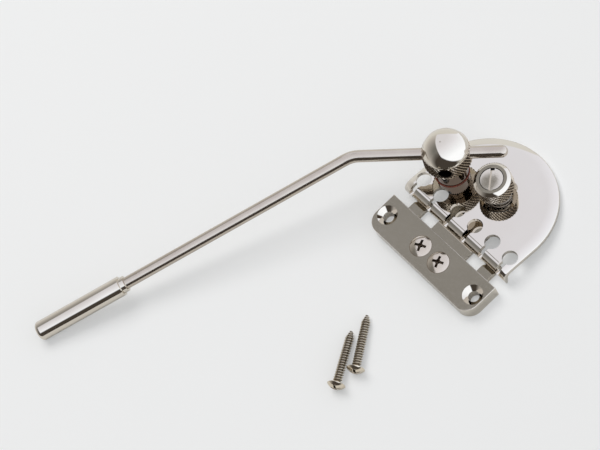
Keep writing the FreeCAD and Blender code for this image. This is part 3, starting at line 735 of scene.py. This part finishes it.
# Painted shade in the wood screws' cross and between their thread ridges
wood_finish = plated("wood_screw_finish", WOOD_NICKEL, WOOD_SHADE, cloud=180, haze=(0.08, 0.15), line=0.6)
darken(wood_finish, painted_shade_share(wood_finish), THREAD_SHADE)

turned_finish = nickel("turned_screw_finish", haze=(0.06, 0.1), line=0.2)
# Painted shade in the gap round the tension screw's head
seat_gap = (stud_foot, upright, STUD_HEAD - SKIN, STUD_HEAD + STUD_RING + SKIN,
            STUD_SEAT - SKIN, STUD_TOP - SKIN)
for finish in (wheel_finish, turned_finish):
    darken(finish, zones(finish, [seat_gap]), BORE_AND_GAP_SHADE)
crown(turned_finish, on_stud(0, 0, 0), STUD_HEAD, STUD_CROWN)

# Arm collar: nickel painted dark brown, a painted shade of its dark reflections
collar_painted_shade = plated("arm_collar_painted_shade", COLLAR_SHADED_NICKEL, COLLAR_SHADED_CLOUD,
                       cloud=60, haze=(0.04, 0.08), line=0.3)
NODE_FINISHES = {"arm_head": head_finish, "tension_wheel": wheel_finish, "centre_screws": centre_finish,
                 "mounting_bar": bar_finish, "tension_screw": turned_finish, "arm_collar": collar_painted_shade}

for part in frame["record"]["subparts"]:
    node = frame["nodes"][part["node"]]
    node.data.materials.clear()
    node.data.materials.append(NODE_FINISHES.get(part["node"], FINISHES[part["material_slot"]]))


# Pieces
head_bores = ((ARM_ANGLE, ARM_HEIGHT, ROD_RADIUS + ROD_MARGIN),
              (ARM_ANGLE - 180, ARM_HEIGHT, ROD_RADIUS + ROD_MARGIN),
              (ARM_ANGLE + 90, ARM_HEIGHT, CLAMP_RADIUS + CLAMP_MARGIN))
x, y, z, faces, painted_shade = knurl(HEAD_RADIUS, HEAD_UNDER, HEAD_KNURL_TOP, HEAD_CENTRE, head_bores)
head_places = on_plate(POST_X + x, POST_REACH + y, PLATE_TOP + z)
head_knurl = new_piece("head_knurl", head_places, faces, painted_shade, knurl_painted_shade, False)
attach(head_knurl, "head")

x, y, z, faces, painted_shade = knurl(WHEEL_RADIUS, WHEEL_UNDER, WHEEL_SHOULDER, WHEEL_SHOULDER, ())
wheel_places = on_stud(x, y, z)
wheel_knurl = new_piece("wheel_knurl", wheel_places, faces, painted_shade, knurl_painted_shade, False)
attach(wheel_knurl, "tension_knob")

places, faces, painted_shade = coil_spring()
spring = new_piece("coil_spring", places, faces, painted_shade, FINISHES["spring_steel"], True)
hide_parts("tension_spring")
tuple(on_stud(0, 0, 0))
tuple(on_stud(0, 0, SPRING_LENGTH))
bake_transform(spring)

for name, body, spot in (("wood_screw_near", "loose_screw_near", NEAR_SCREW),
                         ("wood_screw_far", "loose_screw_far", FAR_SCREW)):
    places, faces, painted_shade = wood_screw(*spot)
    screw = new_piece("threaded_" + name, places, faces, painted_shade, wood_finish, True)
    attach(screw, body)
    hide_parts(name)


# Table, light and camera
def table_top():
    """A flat square table of pale paper, faintly uneven in tone, with a glow that only the camera sees.
    The metal mirrors the table close by, and the studio's pale room in place of the table farther off."""
    half = TABLE_HALF * MILLIMETRE
    level = -TABLE_CLEAR * MILLIMETRE
    mesh = bpy.data.meshes.new("table_top")
    corners = [(-half, -half, level), (half, -half, level), (half, half, level), (-half, half, level)]
    mesh.from_pydata(corners, [], [(0, 1, 2, 3)])
    material = bpy.data.materials.new("table_paper")
    material.use_nodes = True
    nodes = material.node_tree.nodes
    links = material.node_tree.links
    surface = nodes["Principled BSDF"]
    surface.inputs["Roughness"].default_value = TABLE_ROUGHNESS
    surface.inputs["Specular IOR Level"].default_value = TABLE_SHEEN
    where = nodes.new("ShaderNodeTexCoord")
    tone = nodes.new("ShaderNodeTexNoise")
    tone.inputs["Scale"].default_value = TABLE_CLOUD
    links.new(where.outputs["Object"], tone.inputs["Vector"])
    paper = nodes.new("ShaderNodeValToRGB")
    for stop, colour in zip(paper.color_ramp.elements, PAPER_TONES):
        stop.color = colour
    links.new(tone.outputs["Fac"], paper.inputs["Fac"])
    links.new(paper.outputs["Color"], surface.inputs["Base Color"])
    path = nodes.new("ShaderNodeLightPath")
    seen = nodes.new("ShaderNodeMath")
    seen.operation = "MULTIPLY"
    seen.inputs[1].default_value = TABLE_GLOW
    links.new(path.outputs["Is Camera Ray"], seen.inputs[0])
    glow = nodes.new("ShaderNodeEmission")
    glow.inputs["Color"].default_value = (*BACKDROP_TONE, 1)
    lit = nodes.new("ShaderNodeMixShader")
    links.new(seen.outputs["Value"], lit.inputs["Fac"])
    links.new(surface.outputs["BSDF"], lit.inputs[1])
    links.new(glow.outputs["Emission"], lit.inputs[2])
    far = nodes.new("ShaderNodeMath")
    far.operation = "GREATER_THAN"
    far.inputs[1].default_value = TABLE_MIRRORED * MILLIMETRE
    links.new(path.outputs["Ray Length"], far.inputs[0])
    skipped = nodes.new("ShaderNodeMath")
    skipped.operation = "MULTIPLY"
    links.new(path.outputs["Is Glossy Ray"], skipped.inputs[0])
    links.new(far.outputs["Value"], skipped.inputs[1])
    either = nodes.new("ShaderNodeMixShader")
    links.new(skipped.outputs["Value"], either.inputs["Fac"])
    links.new(lit.outputs["Shader"], either.inputs[1])
    links.new(nodes.new("ShaderNodeBsdfTransparent").outputs["BSDF"], either.inputs[2])
    links.new(either.outputs["Shader"], nodes["Material Output"].inputs["Surface"])
    mesh.materials.append(material)
    table = bpy.data.objects.new("table_top", mesh)
    bpy.context.scene.collection.objects.link(table)


def sky_share(nodes, links, where, towards, low, high):
    """How far a sky direction leans towards another, from 0 at low to 1 at high, by their dot product."""
    lean = nodes.new("ShaderNodeVectorMath")
    lean.operation = "DOT_PRODUCT"
    lean.inputs[1].default_value = towards
    links.new(where.outputs["Generated"], lean.inputs[0])
    share = nodes.new("ShaderNodeMapRange")
    share.inputs["From Min"].default_value = low
    share.inputs["From Max"].default_value = high
    links.new(lean.outputs["Value"], share.inputs["Value"])
    return share.outputs["Result"]


def sky_ramp(nodes, links, where, axis, stops):
    """Sky colours in steps along an axis, given as dot product with it and colour."""
    share = sky_share(nodes, links, where, axis, -1, 1)
    shade = nodes.new("ShaderNodeValToRGB")
    ramp = shade.color_ramp
    places = [(lean + 1) / 2 for lean, colour in stops]
    first, last = ramp.elements
    first.position = places[0]
    first.color = (*stops[0][1], 1)
    last.position = places[-1]
    last.color = (*stops[-1][1], 1)
    for place, (lean, colour) in zip(places[1:-1], stops[1:-1]):
        ramp.elements.new(place).color = (*colour, 1)
    links.new(share, shade.inputs["Fac"])
    return shade.outputs["Color"]


def sky_tone(nodes, colour):
    """One plain colour."""
    tone = nodes.new("ShaderNodeRGB").outputs["Color"]
    tone.default_value = (*colour, 1)
    return tone


def sky_mix(nodes, links, share, first, second):
    """Two sky colours mixed by a share."""
    mix = nodes.new("ShaderNodeMix")
    mix.data_type = "RGBA"
    links.new(share, mix.inputs["Factor"])
    links.new(first, mix.inputs["A"])
    links.new(second, mix.inputs["B"])
    return mix.outputs["Result"]


def studio():
    """A white card above and to the right, with straight edges left, below and behind, in a room that is pale
    near the table, darker high up on the left and darkest in its right front corner, and one soft lamp.
    A grey patch in the card is what the mounting bar's top shows."""
    world = bpy.data.worlds.new("studio")
    world.use_nodes = True
    bpy.context.scene.world = world
    nodes = world.node_tree.nodes
    links = world.node_tree.links
    where = nodes.new("ShaderNodeTexCoord")
    room = sky_ramp(nodes, links, where, ROOM_AXIS, ROOM_TONES)
    in_corner = sky_share(nodes, links, where, CORNER_WAY, *CORNER_EDGE)
    sky = sky_mix(nodes, links, in_corner, room, sky_tone(nodes, CORNER_TONE))
    card = sky_ramp(nodes, links, where, CARD_AXIS, CARD_TONES)
    inside = [sky_share(nodes, links, where, *edge) for edge in CARD_EDGES]
    in_card = combine(nodes, links, inside, "MULTIPLY")
    sky = sky_mix(nodes, links, in_card, sky, card)
    in_patch = sky_share(nodes, links, where, PATCH_WAY, *PATCH_EDGE)
    sky = sky_mix(nodes, links, in_patch, sky, sky_tone(nodes, PATCH_TONE))
    balanced = nodes.new("ShaderNodeVectorMath")
    balanced.operation = "MULTIPLY"
    balanced.inputs[1].default_value = DIFFUSE_BALANCE
    links.new(sky, balanced.inputs[0])
    path = nodes.new("ShaderNodeLightPath")
    sky = sky_mix(nodes, links, path.outputs["Is Diffuse Ray"], sky, balanced.outputs["Vector"])
    sky = sky_mix(nodes, links, path.outputs["Is Camera Ray"], sky, sky_tone(nodes, BACKDROP_TONE))
    links.new(sky, nodes["Background"].inputs["Color"])
    lamp = bpy.data.lights.new("soft_lamp", "AREA")
    lamp.size = LAMP_SIZE
    lamp.energy = LAMP_POWER
    lamp.color = LAMP_COLOUR
    towards = Vector(LAMP_WAY).normalized()
    soft_lamp = bpy.data.objects.new("soft_lamp", lamp)
    soft_lamp.location = towards * LAMP_DISTANCE
    soft_lamp.rotation_euler = towards.to_track_quat("Z", "Y").to_euler()
    soft_lamp.visible_glossy = False
    bpy.context.scene.collection.objects.link(soft_lamp)


def photograph_camera():
    """The camera that fits points of the photograph, with no shift."""
    lens = bpy.data.cameras.new("photograph")
    lens.sensor_width = CAMERA_SENSOR
    lens.lens = CAMERA_LENS
    camera = bpy.data.objects.new("photograph", lens)
    turn = Matrix((CAMERA_RIGHT, CAMERA_UP, CAMERA_BACK)).transposed().to_4x4()
    camera.matrix_world = Matrix.Translation(CAMERA_PLACE) @ turn
    bpy.context.scene.collection.objects.link(camera)
    bpy.context.scene.camera = camera


table_top()
studio()
photograph_camera()
bpy.context.scene.view_settings.view_transform = "Standard"
